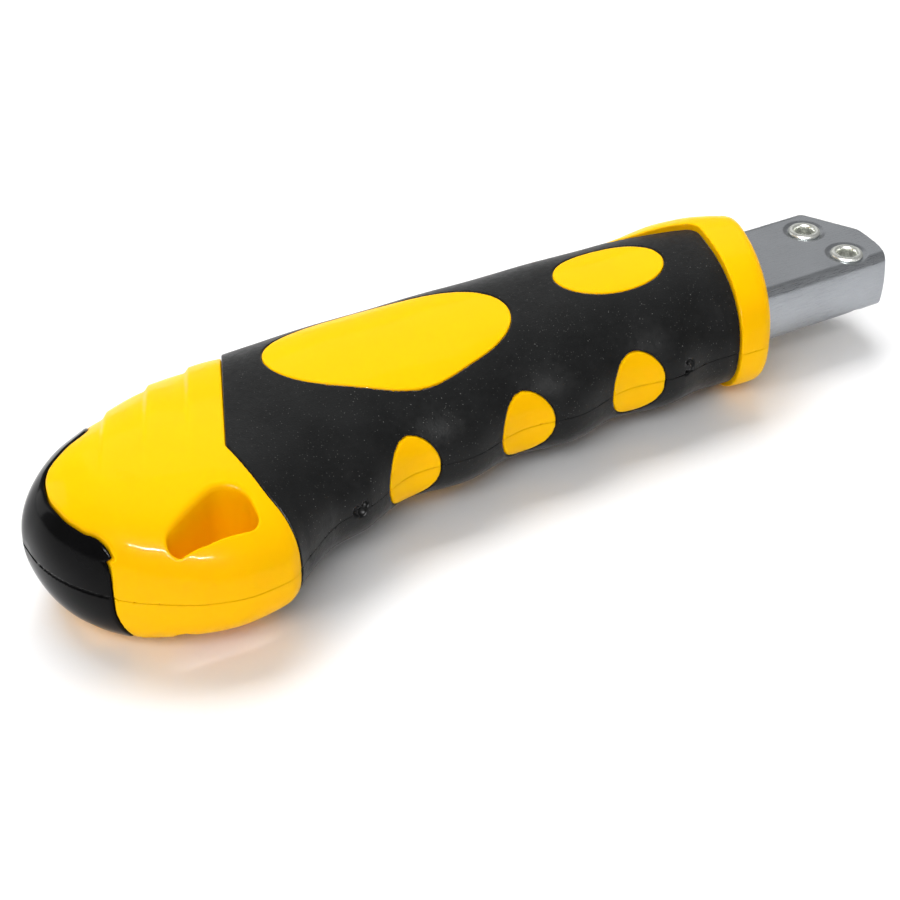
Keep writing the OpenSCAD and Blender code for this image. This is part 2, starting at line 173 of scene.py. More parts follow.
def box_field(p, low, high):
    """Distance to a box with its faces along the axes."""
    outside = [np.maximum(lo - v, v - hi) for v, lo, hi in zip(p, low, high)]
    return np.maximum.reduce(outside)


def oval_field(u, v, centre, size, turn=0.0):
    """Distance to an ellipse in a plane, close to true near its edge."""
    c, s = math.cos(math.radians(turn)), math.sin(math.radians(turn))
    du, dv = u - centre[0], v - centre[1]
    a, b = (c * du + s * dv) / size[0], (-s * du + c * dv) / size[1]
    rho = np.maximum(np.hypot(a, b), 1e-6)
    return (rho - 1) * rho / np.maximum(np.hypot(a / size[0], b / size[1]), 1e-6)


def line_field(across, along, knots):
    """Distance in front of an edge whose place across is a curve of the place along."""
    table = np.arange(knots[0][0], knots[-1][0] + 0.05, 0.1)
    place = curve(knots, table)
    lean = np.gradient(place, table)
    return (across - np.interp(along, table, place)) / np.hypot(1, np.interp(along, table, lean))


# ---------------------------------------------------------------- meshes
def surface(field, low, high, cell):
    """Closed mesh of the surface where the field is zero: one point in each cell it crosses."""
    axes = [np.arange(lo - 1.5 * cell, hi + 2.5 * cell, cell) for lo, hi in zip(low, high)]
    shape = tuple(len(a) for a in axes)
    grid = np.meshgrid(*axes, indexing="ij")
    value = field(tuple(g.ravel() for g in grid)).reshape(shape)
    cells = tuple(n - 1 for n in shape)
    total = np.zeros((int(np.prod(cells)), 3))
    count = np.zeros(int(np.prod(cells)))
    quads = []
    for axis in range(3):
        b, c = [i for i in range(3) if i != axis]
        head = [slice(None)] * 3
        tail = [slice(None)] * 3
        head[axis], tail[axis] = slice(0, -1), slice(1, None)
        v0, v1 = value[tuple(head)], value[tuple(tail)]
        at = np.argwhere((v0 < 0) != (v1 < 0))
        f0, f1 = v0[tuple(at.T)], v1[tuple(at.T)]
        place = np.stack([axes[i][at[:, i]] for i in range(3)], 1)
        place[:, axis] += cell * f0 / (f0 - f1)
        ids = []
        for db, dc in ((1, 1), (0, 1), (0, 0), (1, 0)):
            corner = at.copy()
            corner[:, b] -= db
            corner[:, c] -= dc
            ids.append(np.ravel_multi_index(tuple(corner.T), cells))
        for i in ids:
            count += np.bincount(i, minlength=len(count))
            for k in range(3):
                total[:, k] += np.bincount(i, weights=place[:, k], minlength=len(count))
        quad = np.stack(ids, 1)
        turned = (f0 < 0) if axis != 1 else (f0 >= 0)
        quad[~turned] = quad[~turned][:, ::-1]
        quads.append(quad)
    used = np.flatnonzero(count)
    number = np.full(len(count), -1)
    number[used] = np.arange(len(used))
    return total[used] / count[used, None], number[np.concatenate(quads)]


def slope_of(field, points, step=0.02):
    """Gradient of the field, by differences."""
    sides = []
    for k in range(3):
        shift = np.zeros(3)
        shift[k] = step
        ahead, behind = (points + shift).T, (points - shift).T
        sides.append((field(tuple(ahead)) - field(tuple(behind))) / (2 * step))
    return np.stack(sides, 1)


def settle(field, points, quads, cell, rounds=3):
    """Evens the mesh out and puts every point exactly on the surface."""
    edges = np.concatenate([quads[:, [i, (i + 1) % 4]] for i in range(4)])
    for turn in range(rounds):
        if turn < rounds - 1:
            near = np.zeros_like(points)
            for k in range(3):
                near[:, k] = np.bincount(edges[:, 0], points[edges[:, 1], k], len(points))
                near[:, k] += np.bincount(edges[:, 1], points[edges[:, 0], k], len(points))
            degree = np.bincount(edges.ravel(), minlength=len(points))
            points = points * 0.4 + near / degree[:, None] * 0.6
        for _ in range(2):
            slope = slope_of(field, points)
            push = field(tuple(points.T)) / np.maximum((slope ** 2).sum(1), 0.05)
            move = slope * push[:, None]
            length = np.maximum(np.linalg.norm(move, axis=1), 1e-9)
            points = points - move * np.minimum(1, cell / length)[:, None]
    return points


def mesh_piece(name, points, faces, body, nodes, material, normals=None):
    """A visible piece, placed in the row frame and riding on its body."""
    data = bpy.data.meshes.new(name)
    row = points * MM + np.array(ORIGIN)
    data.from_pydata(row.tolist(), [], [list(map(int, f)) for f in faces])
    data.polygons.foreach_set("use_smooth", [True] * len(data.polygons))
    data.materials.append(material)
    piece = bpy.data.objects.new(name, data)
    bpy.context.scene.collection.objects.link(piece)
    if normals is not None:
        data.normals_split_custom_set_from_vertices(normals.tolist())
    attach(piece, body)
    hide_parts(*nodes)
    return piece


def meet_parting(points, uncut, height, cell):
    """Puts the points beside the parting edge exactly on it, and says which they are."""
    level = points.copy()
    level[:, 2] = height
    near = np.abs(points[:, 2] - height) < 0.6 * cell
    near[near] = np.abs(uncut(tuple(level[near].T))) < 0.6 * cell
    edge = level[near]
    for _ in range(4):
        slope = slope_of(uncut, edge)
        slope[:, 2] = 0
        push = uncut(tuple(edge.T)) / np.maximum((slope ** 2).sum(1), 0.1)
        edge = edge - slope * push[:, None]
    points[near] = edge
    return near


def carved(name, field, low, high, cell, body, nodes, material, parting=None):
    """A piece made from a field, with its normals taken from the field itself."""
    points, quads = surface(field, low, high, cell)
    points = settle(field, points, quads, cell)
    slope = slope_of(field, points)
    if parting:
        uncut, height = parting
        edge = meet_parting(points, uncut, height, cell)
        slope[edge] = slope_of(uncut, points[edge])
    normals = slope / np.maximum(np.linalg.norm(slope, axis=1), 1e-9)[:, None]
    return mesh_piece(name, points, quads, body, nodes, material, normals)


# ---------------------------------------------------------------- handle features
RUBBER_DEEP = 1.6          # thickness of the rubber
BED_GAP = 0.02             # between the rubber's underside and its pocket
SEAM = 0.05                # half the gap where two materials meet
PARTING_GAP = 0.07         # from the parting plane to each shell's edge
PARTING_ROUND = 0.28
RUBBER_GAP = 0.08          # from the parting plane to each grip's edge
RUBBER_ROUND = 0.3
EDGE = 0.28                # softening of moulded edges

CAP_EDGE = ((-40, 6.5), (-25, 6.4), (-23, 7.5), (-20, 6.8), (-17, 5.3), (-13, 4.1), (-9, 3.8),
            (-5.5, 4.4), (-2.5, 5.9), (0.5, 9.9), (5, 15.2), (8, 16.4), (40, 16.4))
CAP_LIP = 6.1              # height above which the cap's edge reaches further forward
CAP_LIP_PROUD = 0.65
CAP_EDGE_BACK = 0.4        # and how far back it lies elsewhere, low on the tail
CAP_LOW_START = -1.5       # on the left face it runs forward again below this height
CAP_STEP_TOP, CAP_STEP_FADE = -18, 3
GRIP_REAR_LOW = ((-45, 31.9), (-34, 32), (-31.2, 33.5), (-28.2, 33), (-24, 31.9), (-17.8, 31.3),
                 (-12.4, 30.8))
GRIP_REAR_LEAN = 0.427     # forward lean of the straight upper part of that edge
GRIP_REAR_KINK = (30.8, -12.4)
RUBBER_FRONT, RUBBER_LEAN = 130.8, 0.29
COLLAR_FRONT, COLLAR_LEAN = 139.0, 0.39
COLLAR_PROUD, COLLAR_ROUND = 1.1, 2.4
COLLAR_HALF = 90.0         # forward of here the yellow skin is the collar's, behind it the tail's
STRIP_START, STRIP_LOW, STRIP_FALL = 120.5, 14.6, 0.42
STRIP_LONG = 10.5
BIG_WINDOW_CENTRE = (68.4, 4.8)
# Radius of the big egg-shaped window every 30 degrees, starting towards the butt
BIG_WINDOW = (21.5, 17.3, 15.5, 14.9, 15.7, 18.7, 21.8, 17.5, 13.5, 12.9, 14.3, 19.7)
SMALL_OVAL = ((111.7, 4.4), (10.5, 7.7), 0.4)
FINGER_OVALS = (59.6, 82.2, 105.0)
FINGER_OVAL_SIZE = (5.2, 5.9)
FINGER_OVAL_TOP = -6       # they cut the belly only
# Corners of the lanyard hole, with their radii, and how its rim is rounded
HOLE_CORNERS = ((16.6, -26.6, 1.8), (26.6, -26.6, 2.3), (25.3, -24.4, 3.7))
RIM_LOW, RIM_MORE, RIM_FROM = 0.6, 0.5, -26
# Where the rubber was injected: the balls of a torn pit, and a curl
GATE_PIT = ((47.3, -23.4, 0.4, 1.0), (48.2, -23.0, -0.2, 0.85), (48.7, -22.7, 0.9, 0.6))
GATE_CURL = (114.7, -15.9, 1.3)
CURL_R, CURL_WIRE_R = 1.0, 0.42
RIB_START, RIB_PITCH, RIB_LEAN, RIB_DEEP = 13.3, 7.1, 0.42, 0.75
RIB_COUNT = 4
RIB_BACK = 0.86            # share of the pitch where the next rib's rear face begins
RIB_MID_Y, RIB_FADE_LOW, RIB_FADE = 10, -14, 25


def cap_region(p):
    """Negative where the butt bumper lies: a lip above, and further forward on the left face."""
    x, y, z = p
    lip = CAP_LIP_PROUD * np.clip((z - CAP_LIP) / 0.4 + 0.5, 0, 1)
    low = 1.2 * np.clip((CAP_LOW_START - z) / 5, 0, 1.7) ** 2
    reach = np.clip((CAP_STEP_TOP - y) / CAP_STEP_FADE, 0, 1)
    return line_field(x - (lip + low - CAP_EDGE_BACK) * reach, y, CAP_EDGE)


def front_plane(p, at, lean):
    return (p[0] - at - lean * p[1]) / math.hypot(1, lean)


def rubber_outline(p):
    """Negative where rubber may lie, windows aside."""
    x, y, _ = p
    kink_x, kink_y = GRIP_REAR_KINK
    upper = (kink_x + GRIP_REAR_LEAN * (y - kink_y) - x) / math.hypot(1, GRIP_REAR_LEAN)
    lower = -line_field(x, np.minimum(y, kink_y), GRIP_REAR_LOW)
    rear = np.where(y > kink_y, upper, lower)
    front = front_plane(p, RUBBER_FRONT, RUBBER_LEAN)
    under = STRIP_LOW - STRIP_FALL * np.clip(x - STRIP_START, 0, STRIP_LONG) - y
    strip = soft_max(STRIP_START - 1 - x, under, 1.0)
    return np.maximum(rear, soft_max(front, -strip, 4.0))


def egg_field(x, y):
    """Distance to the big window's outline, which is smooth through its radii."""
    dx, dy = x - BIG_WINDOW_CENTRE[0], y - BIG_WINDOW_CENTRE[1]
    angle = np.arctan2(dy, dx)
    steps = np.fft.rfft(BIG_WINDOW)[:5] / len(BIG_WINDOW)
    radius, slope = np.real(steps[0]), 0.0
    for k in range(1, 5):
        turn = np.exp(1j * k * (angle + math.pi))
        radius = radius + 2 * np.real(steps[k] * turn)
        slope = slope + 2 * np.real(1j * k * steps[k] * turn)
    away = np.hypot(dx, dy)
    return (away - radius) / np.sqrt(1 + (slope / radius) ** 2)


def windows(p):
    """Negative inside the yellow islands that show through the rubber."""
    x, y, z = p
    field = np.minimum(egg_field(x, y), oval_field(x, y, *SMALL_OVAL))
    for at in FINGER_OVALS:
        finger = oval_field(x, z, (at, 0), FINGER_OVAL_SIZE)
        field = np.minimum(field, np.maximum(finger, y - FINGER_OVAL_TOP))
    return field


def lanyard_hole(p):
    """Triangle with corners of three radii, through the tail."""
    at = np.stack(p[:2], -1)
    corners = np.array(HOLE_CORNERS)
    inside = np.full(len(at), -1e9)
    away = np.full(len(at), 1e9)
    for a, b in zip(corners, np.roll(corners, -1, axis=0)):
        span = b[:2] - a[:2]
        long = np.linalg.norm(span)
        along = (at - a[:2]) @ span / long
        side = ((at[:, 0] - a[0]) * span[1] - (at[:, 1] - a[1]) * span[0]) / long
        lean = (a[2] - b[2]) / long
        rise = math.sqrt(1 - lean * lean)
        share = rise * along - lean * np.abs(side)
        edge = rise * np.abs(side) + lean * along - a[2]
        near = np.where(share < 0, np.hypot(along, side) - a[2],
                        np.where(share > rise * long, np.hypot(along - long, side) - b[2], edge))
        away = np.minimum(away, near)
        inside = np.maximum(inside, side)
    return np.where(inside < 0, np.minimum(away, inside - corners[:, 2].min()), away)


def ribbed(p, field):
    """The tail's thumb ribs: each panel stands proud at its rear and falls away forwards."""
    x, y, _ = p
    place = (x - RIB_LEAN * (y - RIB_MID_Y) - RIB_START) / RIB_PITCH
    u = place - np.floor(place)
    fall = u ** 1.3 * (1 - smooth_step((u - RIB_BACK) / (1 - RIB_BACK)))
    reach = np.clip(place / 0.3, 0, 1) * (place < RIB_COUNT)
    fade = np.clip((y - RIB_FADE_LOW) / RIB_FADE, 0, 1) ** 1.3
    return field + RIB_DEEP * fall * reach * fade


def yellow_skin(p):
    """Skin of the yellow shells: ribs at the tail, and the collar and its strip standing proud."""
    x = p[0]
    outside = skin(p)
    raised = smooth_step((x - STRIP_START + 2) / 12) * np.clip(rubber_outline(p) + 1, 0, 1)
    collar = soft_max(outside - COLLAR_PROUD * raised,
                      front_plane(p, COLLAR_FRONT, COLLAR_LEAN), COLLAR_ROUND)
    return np.where(x < COLLAR_HALF, ribbed(p, outside), collar)


# Rooms inside the handle, as the mechanism needs them
ROOMS = (
    ((23.7, -8.0, -1.3), (124.0, 12.2, 1.25)),
    ((30.0, -4.9, -5.4), (124.0, 9.1, 1.0)),
    ((-5.0, -11.3, 1.2), (122.7, 9.7, 6.3)),
    ((-5.0, -13.8, -6.8), (18.8, -1.2, 6.8)),
)
# Opening for the thumb button in the left face, its slot, and the screws' wells
TROUGH = ((29.4, -4.9, -30.0), (125.6, 9.1, -6.8))
TROUGH_BORDER, TROUGH_ROUND = 1.6, 0.6
SLOT = ((32.5, -0.7, -30.0), (122.5, 4.9, 0.0))
SCREWS = ((41.0, 16.2), (108.0, 15.6), (40.0, -17.6))
SCREW_HEAD, SCREW_SEAT = 2.75, -5.3
# The folded nose, its rivets and the dimple round each
NOSE_HALF_WIDE, NOSE_HALF_THICK, NOSE_BOW, NOSE_ROLL = 10.3, 5.5, 0.9, 1.6
NOSE_REAR = 123.0
NOSE_PLAY = 0.12
SHEET = 0.9
RIVETS = ((156.9, 6.1), (158.3, -4.4))
RIVET_HEAD, RIVET_SHANK = 3.0, 2.3
DIMPLE_R, DIMPLE_DEEP = 4.1, 0.35
DIMPLE_ABOVE = 3           # both flat faces are dimpled, the edges between them aren't
# Straight cuts across the nose's end: two points on each, belly side first
NOSE_CUTS = (((163.9, -9.5), (165.6, -4.5)), ((165.6, -4.5), (166.0, 0.6)),
             ((165.8, 2.0), (160.2, 12.4)))


def nose_outline(p, grow=0.0):
    """Section of the folded nose: flat faces and bowed edges."""
    _, y, z = p
    v, w = np.abs(y - AXIS_Y), np.abs(z)
    bow = NOSE_BOW * np.clip(1 - (w / NOSE_HALF_THICK) ** 2, 0, 1)
    side = v - NOSE_HALF_WIDE - bow
    return soft_max(side, w - NOSE_HALF_THICK, NOSE_ROLL) - grow


def rooms(p):
    """The hollows inside the handle."""
    field = np.minimum.reduce([box_field(p, *room) for room in ROOMS])
    nose = np.maximum(nose_outline(p, NOSE_PLAY), NOSE_REAR - p[0])
    return np.minimum(field, nose)


def screw_wells(p):
    return np.minimum.reduce([np.maximum(np.hypot(p[0] - x, p[1] - y) - SCREW_HEAD,
                                         p[2] - SCREW_SEAT) for x, y in SCREWS])


def shell(p):
    """Both yellow shells, before they part: skin, rubber pocket, hole and rooms."""
    outer = yellow_skin(p)
    islands = windows(p)
    region = soft_max(rubber_outline(p), -islands, 0.2)
    pocket = np.maximum(region - SEAM, -(skin(p) + RUBBER_DEEP))
    field = soft_max(outer, -pocket, EDGE)
    field = soft_max(field, -(cap_region(p) - SEAM), EDGE)
    rim = RIM_LOW + RIM_MORE * np.clip((p[1] - RIM_FROM) / 4, 0, 1)
    field = soft_max(field, -lanyard_hole(p), rim)
    return np.maximum(field, -rooms(p))


def body_right_field(p):
    return soft_max(shell(p), PARTING_GAP - p[2], PARTING_ROUND)


def body_left_field(p):
    field = soft_max(shell(p), PARTING_GAP + p[2], PARTING_ROUND)
    field = soft_max(field, -box_field(p, *TROUGH), TROUGH_ROUND)
    field = np.maximum(field, -box_field(p, *SLOT))
    return np.maximum(field, -screw_wells(p))


def gate_marks(p):
    """The torn pit and the curl beside the parting line."""
    x, y, z = p
    pit = np.minimum.reduce([np.sqrt((x - a) ** 2 + (y - b) ** 2 + (z - c) ** 2) - r
                             for a, b, c, r in GATE_PIT])
    bx, by, bz = GATE_CURL
    around = np.hypot(x - bx, z - bz) - CURL_R
    curl = np.hypot(around, y - by) - CURL_WIRE_R
    return np.minimum(pit, np.maximum(curl, bx - 0.6 - x))


def rubber(p):
    """Both grips, before they part: a layer of the skin with its windows."""
    outside = skin(p)
    field = soft_max(outside, rubber_outline(p) + SEAM, EDGE)
    field = soft_max(field, -(windows(p) - SEAM), EDGE)
    field = soft_max(field, -gate_marks(p), 0.15)
    return np.maximum(field, -(outside + RUBBER_DEEP - BED_GAP))


def grip_right_field(p):
    return soft_max(rubber(p), RUBBER_GAP - p[2], RUBBER_ROUND)


def grip_left_field(p):
    """The left grip also leaves a yellow border round the thumb button's trough."""
    field = soft_max(rubber(p), RUBBER_GAP + p[2], RUBBER_ROUND)
    low, high = TROUGH
    wide = ((low[0] - TROUGH_BORDER, low[1] - TROUGH_BORDER, low[2]),
            (high[0] + TROUGH_BORDER, high[1] + TROUGH_BORDER, high[2]))
    field = soft_max(field, -box_field(p, *wide), EDGE)
    return np.maximum(field, -screw_wells(p))


CAP_ROUND = 0.9
CAP_LINE_HALF, CAP_LINE_DEEP, CAP_LINE_ROUND = 0.17, 0.2, 0.1
CAP_POCKET = ((5.0, -13.5, -6.5), (40.0, -1.5, 6.5))


def tail_cap_field(p):
    """The bumper with its moulding line and the pocket for the plug."""
    field = soft_max(skin(p), cap_region(p) + SEAM, CAP_ROUND)
    line = np.maximum(np.abs(p[2]) - CAP_LINE_HALF, -(skin(p) + CAP_LINE_DEEP))
    field = soft_max(field, -line, CAP_LINE_ROUND)
    return np.maximum(field, -box_field(p, *CAP_POCKET))


def nose_field(p):
    """Folded sheet, cut across at the end, with a dimple at each rivet."""
    x, y, z = p
    outside = nose_outline(p)
    for rivet_x, rivet_y in RIVETS:
        around = np.hypot(x - rivet_x, y - rivet_y)
        dip = smooth_step((DIMPLE_R - around) / (DIMPLE_R - RIVET_HEAD))
        outside = outside + DIMPLE_DEEP * dip * (np.abs(z) > DIMPLE_ABOVE)
    end = NOSE_REAR - x
    for (ax, ay), (bx, by) in NOSE_CUTS:
        cut = ((x - ax) * (by - ay) - (y - ay) * (bx - ax)) / math.hypot(bx - ax, by - ay)
        end = soft_max(end, cut, 0.5)
    field = soft_max(outside, -(outside + SHEET), 0.1)
    field = soft_max(field, end, 0.3)
    holes = [np.hypot(x - a, y - b) - RIVET_SHANK for a, b in RIVETS]
    return np.maximum(field, -np.minimum(*holes))


# Thumb button: a rounded slab with cross ribs, and its stem into the carrier
BUTTON_LOW, BUTTON_HIGH = (31.0, -4.1, -12.1), (49.0, 8.3, -8.45)
STEM_LOW, STEM_HIGH = (34.0, -0.3, -9.0), (46.0, 4.5, -3.1)
BUTTON_RIBS, BUTTON_RIB_PITCH, BUTTON_RIB_DEEP = 5, 2.6, 0.7
BUTTON_VALLEY_HALF = 0.62
BUTTON_DISH_DEEP, BUTTON_DISH_HALF = 0.5, 9


def button_field(p):
    """The slider's thumb button with its stem."""
    x, y, z = p
    centre = (BUTTON_LOW[0] + BUTTON_HIGH[0]) / 2
    side_x = np.abs(x - centre) - (BUTTON_HIGH[0] - BUTTON_LOW[0]) / 2
    side_y = np.abs(y - AXIS_Y) - (BUTTON_HIGH[1] - BUTTON_LOW[1]) / 2
    slab = soft_max(side_x, side_y, 4.0)
    dish = BUTTON_DISH_DEEP * np.clip(1 - ((x - centre) / BUTTON_DISH_HALF) ** 2, 0, 1)
    slab = soft_max(slab, BUTTON_LOW[2] + dish - z, 1.0)
    slab = soft_max(slab, z - BUTTON_HIGH[2], 0.4)
    place = (x - centre) / BUTTON_RIB_PITCH
    valley = np.abs(place - np.round(place)) * BUTTON_RIB_PITCH - BUTTON_VALLEY_HALF
    valley = np.maximum(valley, np.abs(place) - BUTTON_RIBS / 2)
    valley = soft_max(valley, z - BUTTON_LOW[2] - dish - BUTTON_RIB_DEEP, 0.3)
    slab = soft_max(slab, -valley, 0.35)
    return soft_min(slab, box_field(p, STEM_LOW, STEM_HIGH), 0.5)


def lathe(name, profile, centres, turn_over, body, nodes, material, steps=72):
    """Closed rings turned about +z: points, faces and one object for all the centres."""
    points, faces = [], []
    for cx, cy in centres:
        base = len(points)
        for k in range(steps):
            angle = 2 * math.pi * k / steps
            for r, z in profile:
                points.append((cx + r * math.cos(angle), cy + r * math.sin(angle),
                               -z if turn_over else z))
        n = len(profile)
        for k in range(steps):
            for i in range(n):
                a, b = base + k * n + i, base + k * n + (i + 1) % n
                c, d = base + (k + 1) % steps * n + (i + 1) % n, base + (k + 1) % steps * n + i
                faces.append((a, b, c, d) if turn_over else (d, c, b, a))
    return mesh_piece(name, np.array(points), faces, body, nodes, material)


# Radius and height round one rivet: bore, shank, rolled head
RIVET_PROFILE = ((1.75, 0.55), (2.3, 0.55), (2.3, 5.1), (2.9, 5.12), (3.0, 5.3), (2.93, 5.52),
                 (2.75, 5.72), (2.5, 5.83), (2.25, 5.84), (2.03, 5.75), (1.87, 5.58),
                 (1.78, 5.3), (1.75, 4.9), (1.75, 3.0))


# ---------------------------------------------------------------- materials
class Finish:
    """A procedural material whose textures are laid out in the object's own millimetres."""

    def __init__(self, name, **values):
        self.material = bpy.data.materials.new(name)
        self.material.use_nodes = True
        self.tree = self.material.node_tree
        self.shader = self.tree.nodes["Principled BSDF"]
        self.coords = self.tree.nodes.new("ShaderNodeTexCoord").outputs["Object"]
        for key, value in values.items():
            self.shader.inputs[key.replace("_", " ")].default_value = value

    def link(self, a, b):
        self.tree.links.new(a, b)

    def noise(self, size, detail=2.0, stretch=(1, 1, 1), rough=0.5):
        """Noise with grains of the given size in millimetres, stretched along the axes."""
        mapping = self.tree.nodes.new("ShaderNodeMapping")
        mapping.inputs["Scale"].default_value = [1 / (size * MM * k) for k in stretch]
        self.link(self.coords, mapping.inputs["Vector"])
        node = self.tree.nodes.new("ShaderNodeTexNoise")
        node.inputs["Scale"].default_value = 1.0
        node.inputs["Detail"].default_value = detail
        node.inputs["Roughness"].default_value = rough
        self.link(mapping.outputs["Vector"], node.inputs["Vector"])
        return node.outputs["Fac"]

    def specks(self, size, radius):
        """White dots scattered over the surface."""
        mapping = self.tree.nodes.new("ShaderNodeMapping")
        mapping.inputs["Scale"].default_value = [1 / (size * MM)] * 3
        self.link(self.coords, mapping.inputs["Vector"])
        node = self.tree.nodes.new("ShaderNodeTexVoronoi")
        node.inputs["Scale"].default_value = 1.0
        self.link(mapping.outputs["Vector"], node.inputs["Vector"])
        return self.scaled(node.outputs["Distance"], 1.0, 0.0, radius * 0.5, radius)

    def ramp(self, value, *stops):
        """Colour by value; each stop is a place from 0 to 1 and a colour."""
        node = self.tree.nodes.new("ShaderNodeValToRGB")
        self.link(value, node.inputs["Fac"])
        elements = node.color_ramp.elements
        elements[0].position, elements[0].color = stops[0][0], (*stops[0][1], 1)
        elements[1].position, elements[1].color = stops[-1][0], (*stops[-1][1], 1)
        for place, colour in stops[1:-1]:
            elements.new(place).color = (*colour, 1)
        return node.outputs["Color"]

    def scaled(self, value, low, high, start=0.3, end=0.7):
        """Low at the start value, high at the end value, and even in between."""
        node = self.tree.nodes.new("ShaderNodeMapRange")
        for key, amount in (("From Min", start), ("From Max", end), ("To Min", low),
                            ("To Max", high)):
            node.inputs[key].default_value = amount
        self.link(value, node.inputs["Value"])
        return node.outputs["Result"]

    def mixed(self, how_much, below, above):
        node = self.tree.nodes.new("ShaderNodeMix")
        node.data_type = "RGBA"
        self.link(how_much, node.inputs["Factor"])
        colours = [i for i in node.inputs if i.type == "RGBA"]
        self.link(below, colours[0])
        self.link(above, colours[1])
        return [o for o in node.outputs if o.type == "RGBA"][0]

    def colour(self, value):
        self.link(value, self.shader.inputs["Base Color"])

    def roughness(self, value):
        self.link(value, self.shader.inputs["Roughness"])

    def grain(self, height, strength, distance):
        """Bump of the given height in millimetres; later calls add to earlier ones."""
        node = self.tree.nodes.new("ShaderNodeBump")
        node.inputs["Strength"].default_value = strength
        node.inputs["Distance"].default_value = distance * MM
        self.link(height, node.inputs["Height"])
        socket = self.shader.inputs["Normal"]
        if socket.is_linked:
            self.link(socket.links[0].from_socket, node.inputs["Normal"])
        self.link(node.outputs["Normal"], socket)


def yellow_finish():
    """Glossy ABS: deep warm yellow, slightly translucent, with a faint moulding texture."""
    f = Finish("yellow_abs", IOR=1.48, Specular_IOR_Level=0.01, Subsurface_Weight=0.2,
               Subsurface_Scale=0.0012, Subsurface_Radius=(1.0, 0.40, 0.02),
               Coat_Weight=0.16, Coat_Roughness=0.04, Coat_IOR=1.4)
    f.colour(f.ramp(f.noise(20, 2), (0.15, (0.965, 0.482, 0.0)), (0.85, (0.99, 0.525, 0.0))))
    f.roughness(f.scaled(f.noise(6, 2), 0.26, 0.37, 0.15, 0.85))
    f.grain(f.noise(12, 2), 0.10, 0.12)
    return f.material


def rubber_finish():
    """Semi-matte black rubber with a fine pebbled skin and dust specks."""
    f = Finish("black_rubber", IOR=1.48, Specular_IOR_Level=0.14, Sheen_Weight=0.15,
               Sheen_Roughness=0.35)
    base = f.ramp(f.noise(7, 4), (0.3, (0.0030, 0.0033, 0.0034)), (0.7, (0.0066, 0.0070, 0.0072)))
    dust = f.ramp(f.noise(2.5, 2), (0.42, (0.015, 0.015, 0.016)), (0.60, (0.15, 0.15, 0.145)))
    fine = f.ramp(f.noise(2.0, 2), (0.40, (0.010, 0.010, 0.010)), (0.60, (0.075, 0.075, 0.07)))
    base = f.mixed(f.specks(0.55, 0.17), base, fine)
    f.colour(f.mixed(f.specks(1.2, 0.085), base, dust))
    f.roughness(f.scaled(f.noise(1.1, 3), 0.38, 0.52))
    f.grain(f.noise(0.28, 2), 0.5, 0.05)
    return f.material


def bumper_finish():
    """The butt's softer, glossier black."""
    f = Finish("black_bumper", IOR=1.48, Specular_IOR_Level=0.07)
    f.colour(f.ramp(f.noise(5, 3), (0.3, (0.0014, 0.0014, 0.0015)), (0.7, (0.0026, 0.0026, 0.0028))))
    f.roughness(f.scaled(f.noise(1.4, 3), 0.09, 0.14))
    f.grain(f.noise(0.35, 2), 0.15, 0.02)
    return f.material


def brushed_finish(name, dark, light, rough, along=(30, 1, 1), fine=0.08):
    """Brushed metal with its lines along the knife."""
    f = Finish(name, Metallic=1.0)
    lines = f.noise(fine, 3, along, 0.6)
    cloud = f.noise(9, 2)
    f.colour(f.mixed(f.scaled(cloud, 0.25, 0.75), f.ramp(lines, (0.3, dark), (0.7, light)),
                     f.ramp(lines, (0.3, light), (0.7, light))))
    f.roughness(f.scaled(lines, rough - 0.06, rough + 0.08))
    f.grain(lines, 0.12, 0.01)
    return f.material


def plain_finish(name, dark, light, rough, metallic=0.0):
    """Moulded or cast: a soft mottling and a fine skin."""
    f = Finish(name, Metallic=metallic, IOR=1.48)
    f.colour(f.ramp(f.noise(4, 3), (0.3, dark), (0.7, light)))
    f.roughness(f.scaled(f.noise(1.2, 3), rough - 0.05, rough + 0.07))
    f.grain(f.noise(0.3, 2), 0.25, 0.02)
    return f.material


yellow = yellow_finish()
rubber_black = rubber_finish()
bumper = bumper_finish()
nose_steel = brushed_finish("nose_steel", (0.235, 0.245, 0.26), (0.355, 0.37, 0.39), 0.3)
rivet_steel = brushed_finish("rivet_steel", (0.66, 0.68, 0.63), (0.82, 0.83, 0.78), 0.3, (3, 3, 1))
guide_steel = plain_finish("guide_steel", (0.10, 0.10, 0.11), (0.16, 0.16, 0.17), 0.45, 1.0)
channel_steel = brushed_finish("channel_steel", (0.45, 0.45, 0.47), (0.58, 0.58, 0.60), 0.35)
blade_steel = brushed_finish("blade_steel", (0.60, 0.60, 0.62), (0.76, 0.76, 0.78), 0.26,
                             (1, 30, 1), 0.12)
spring_steel = brushed_finish("spring_steel", (0.28, 0.30, 0.34), (0.40, 0.42, 0.46), 0.3)
screw_steel = plain_finish("screw_steel", (0.42, 0.42, 0.42), (0.56, 0.56, 0.56), 0.32, 1.0)
brass = plain_finish("insert_brass", (0.62, 0.44, 0.16), (0.76, 0.56, 0.24), 0.3, 1.0)
black_plastic = plain_finish("black_plastic", (0.012, 0.012, 0.013), (0.02, 0.02, 0.022), 0.42)
button_plastic = plain_finish("button_plastic", (0.010, 0.010, 0.011), (0.018, 0.018, 0.02), 0.5)
tray_plastic = plain_finish("tray_plastic", (0.02, 0.02, 0.022), (0.032, 0.032, 0.035), 0.45)


# ---------------------------------------------------------------- pieces
# Mesh cells in millimetres; a grid line of every half shell lies on the parting plane
FINE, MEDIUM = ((0.36, 0.44))
STEP_LEFT = round(13 / MEDIUM) * MEDIUM

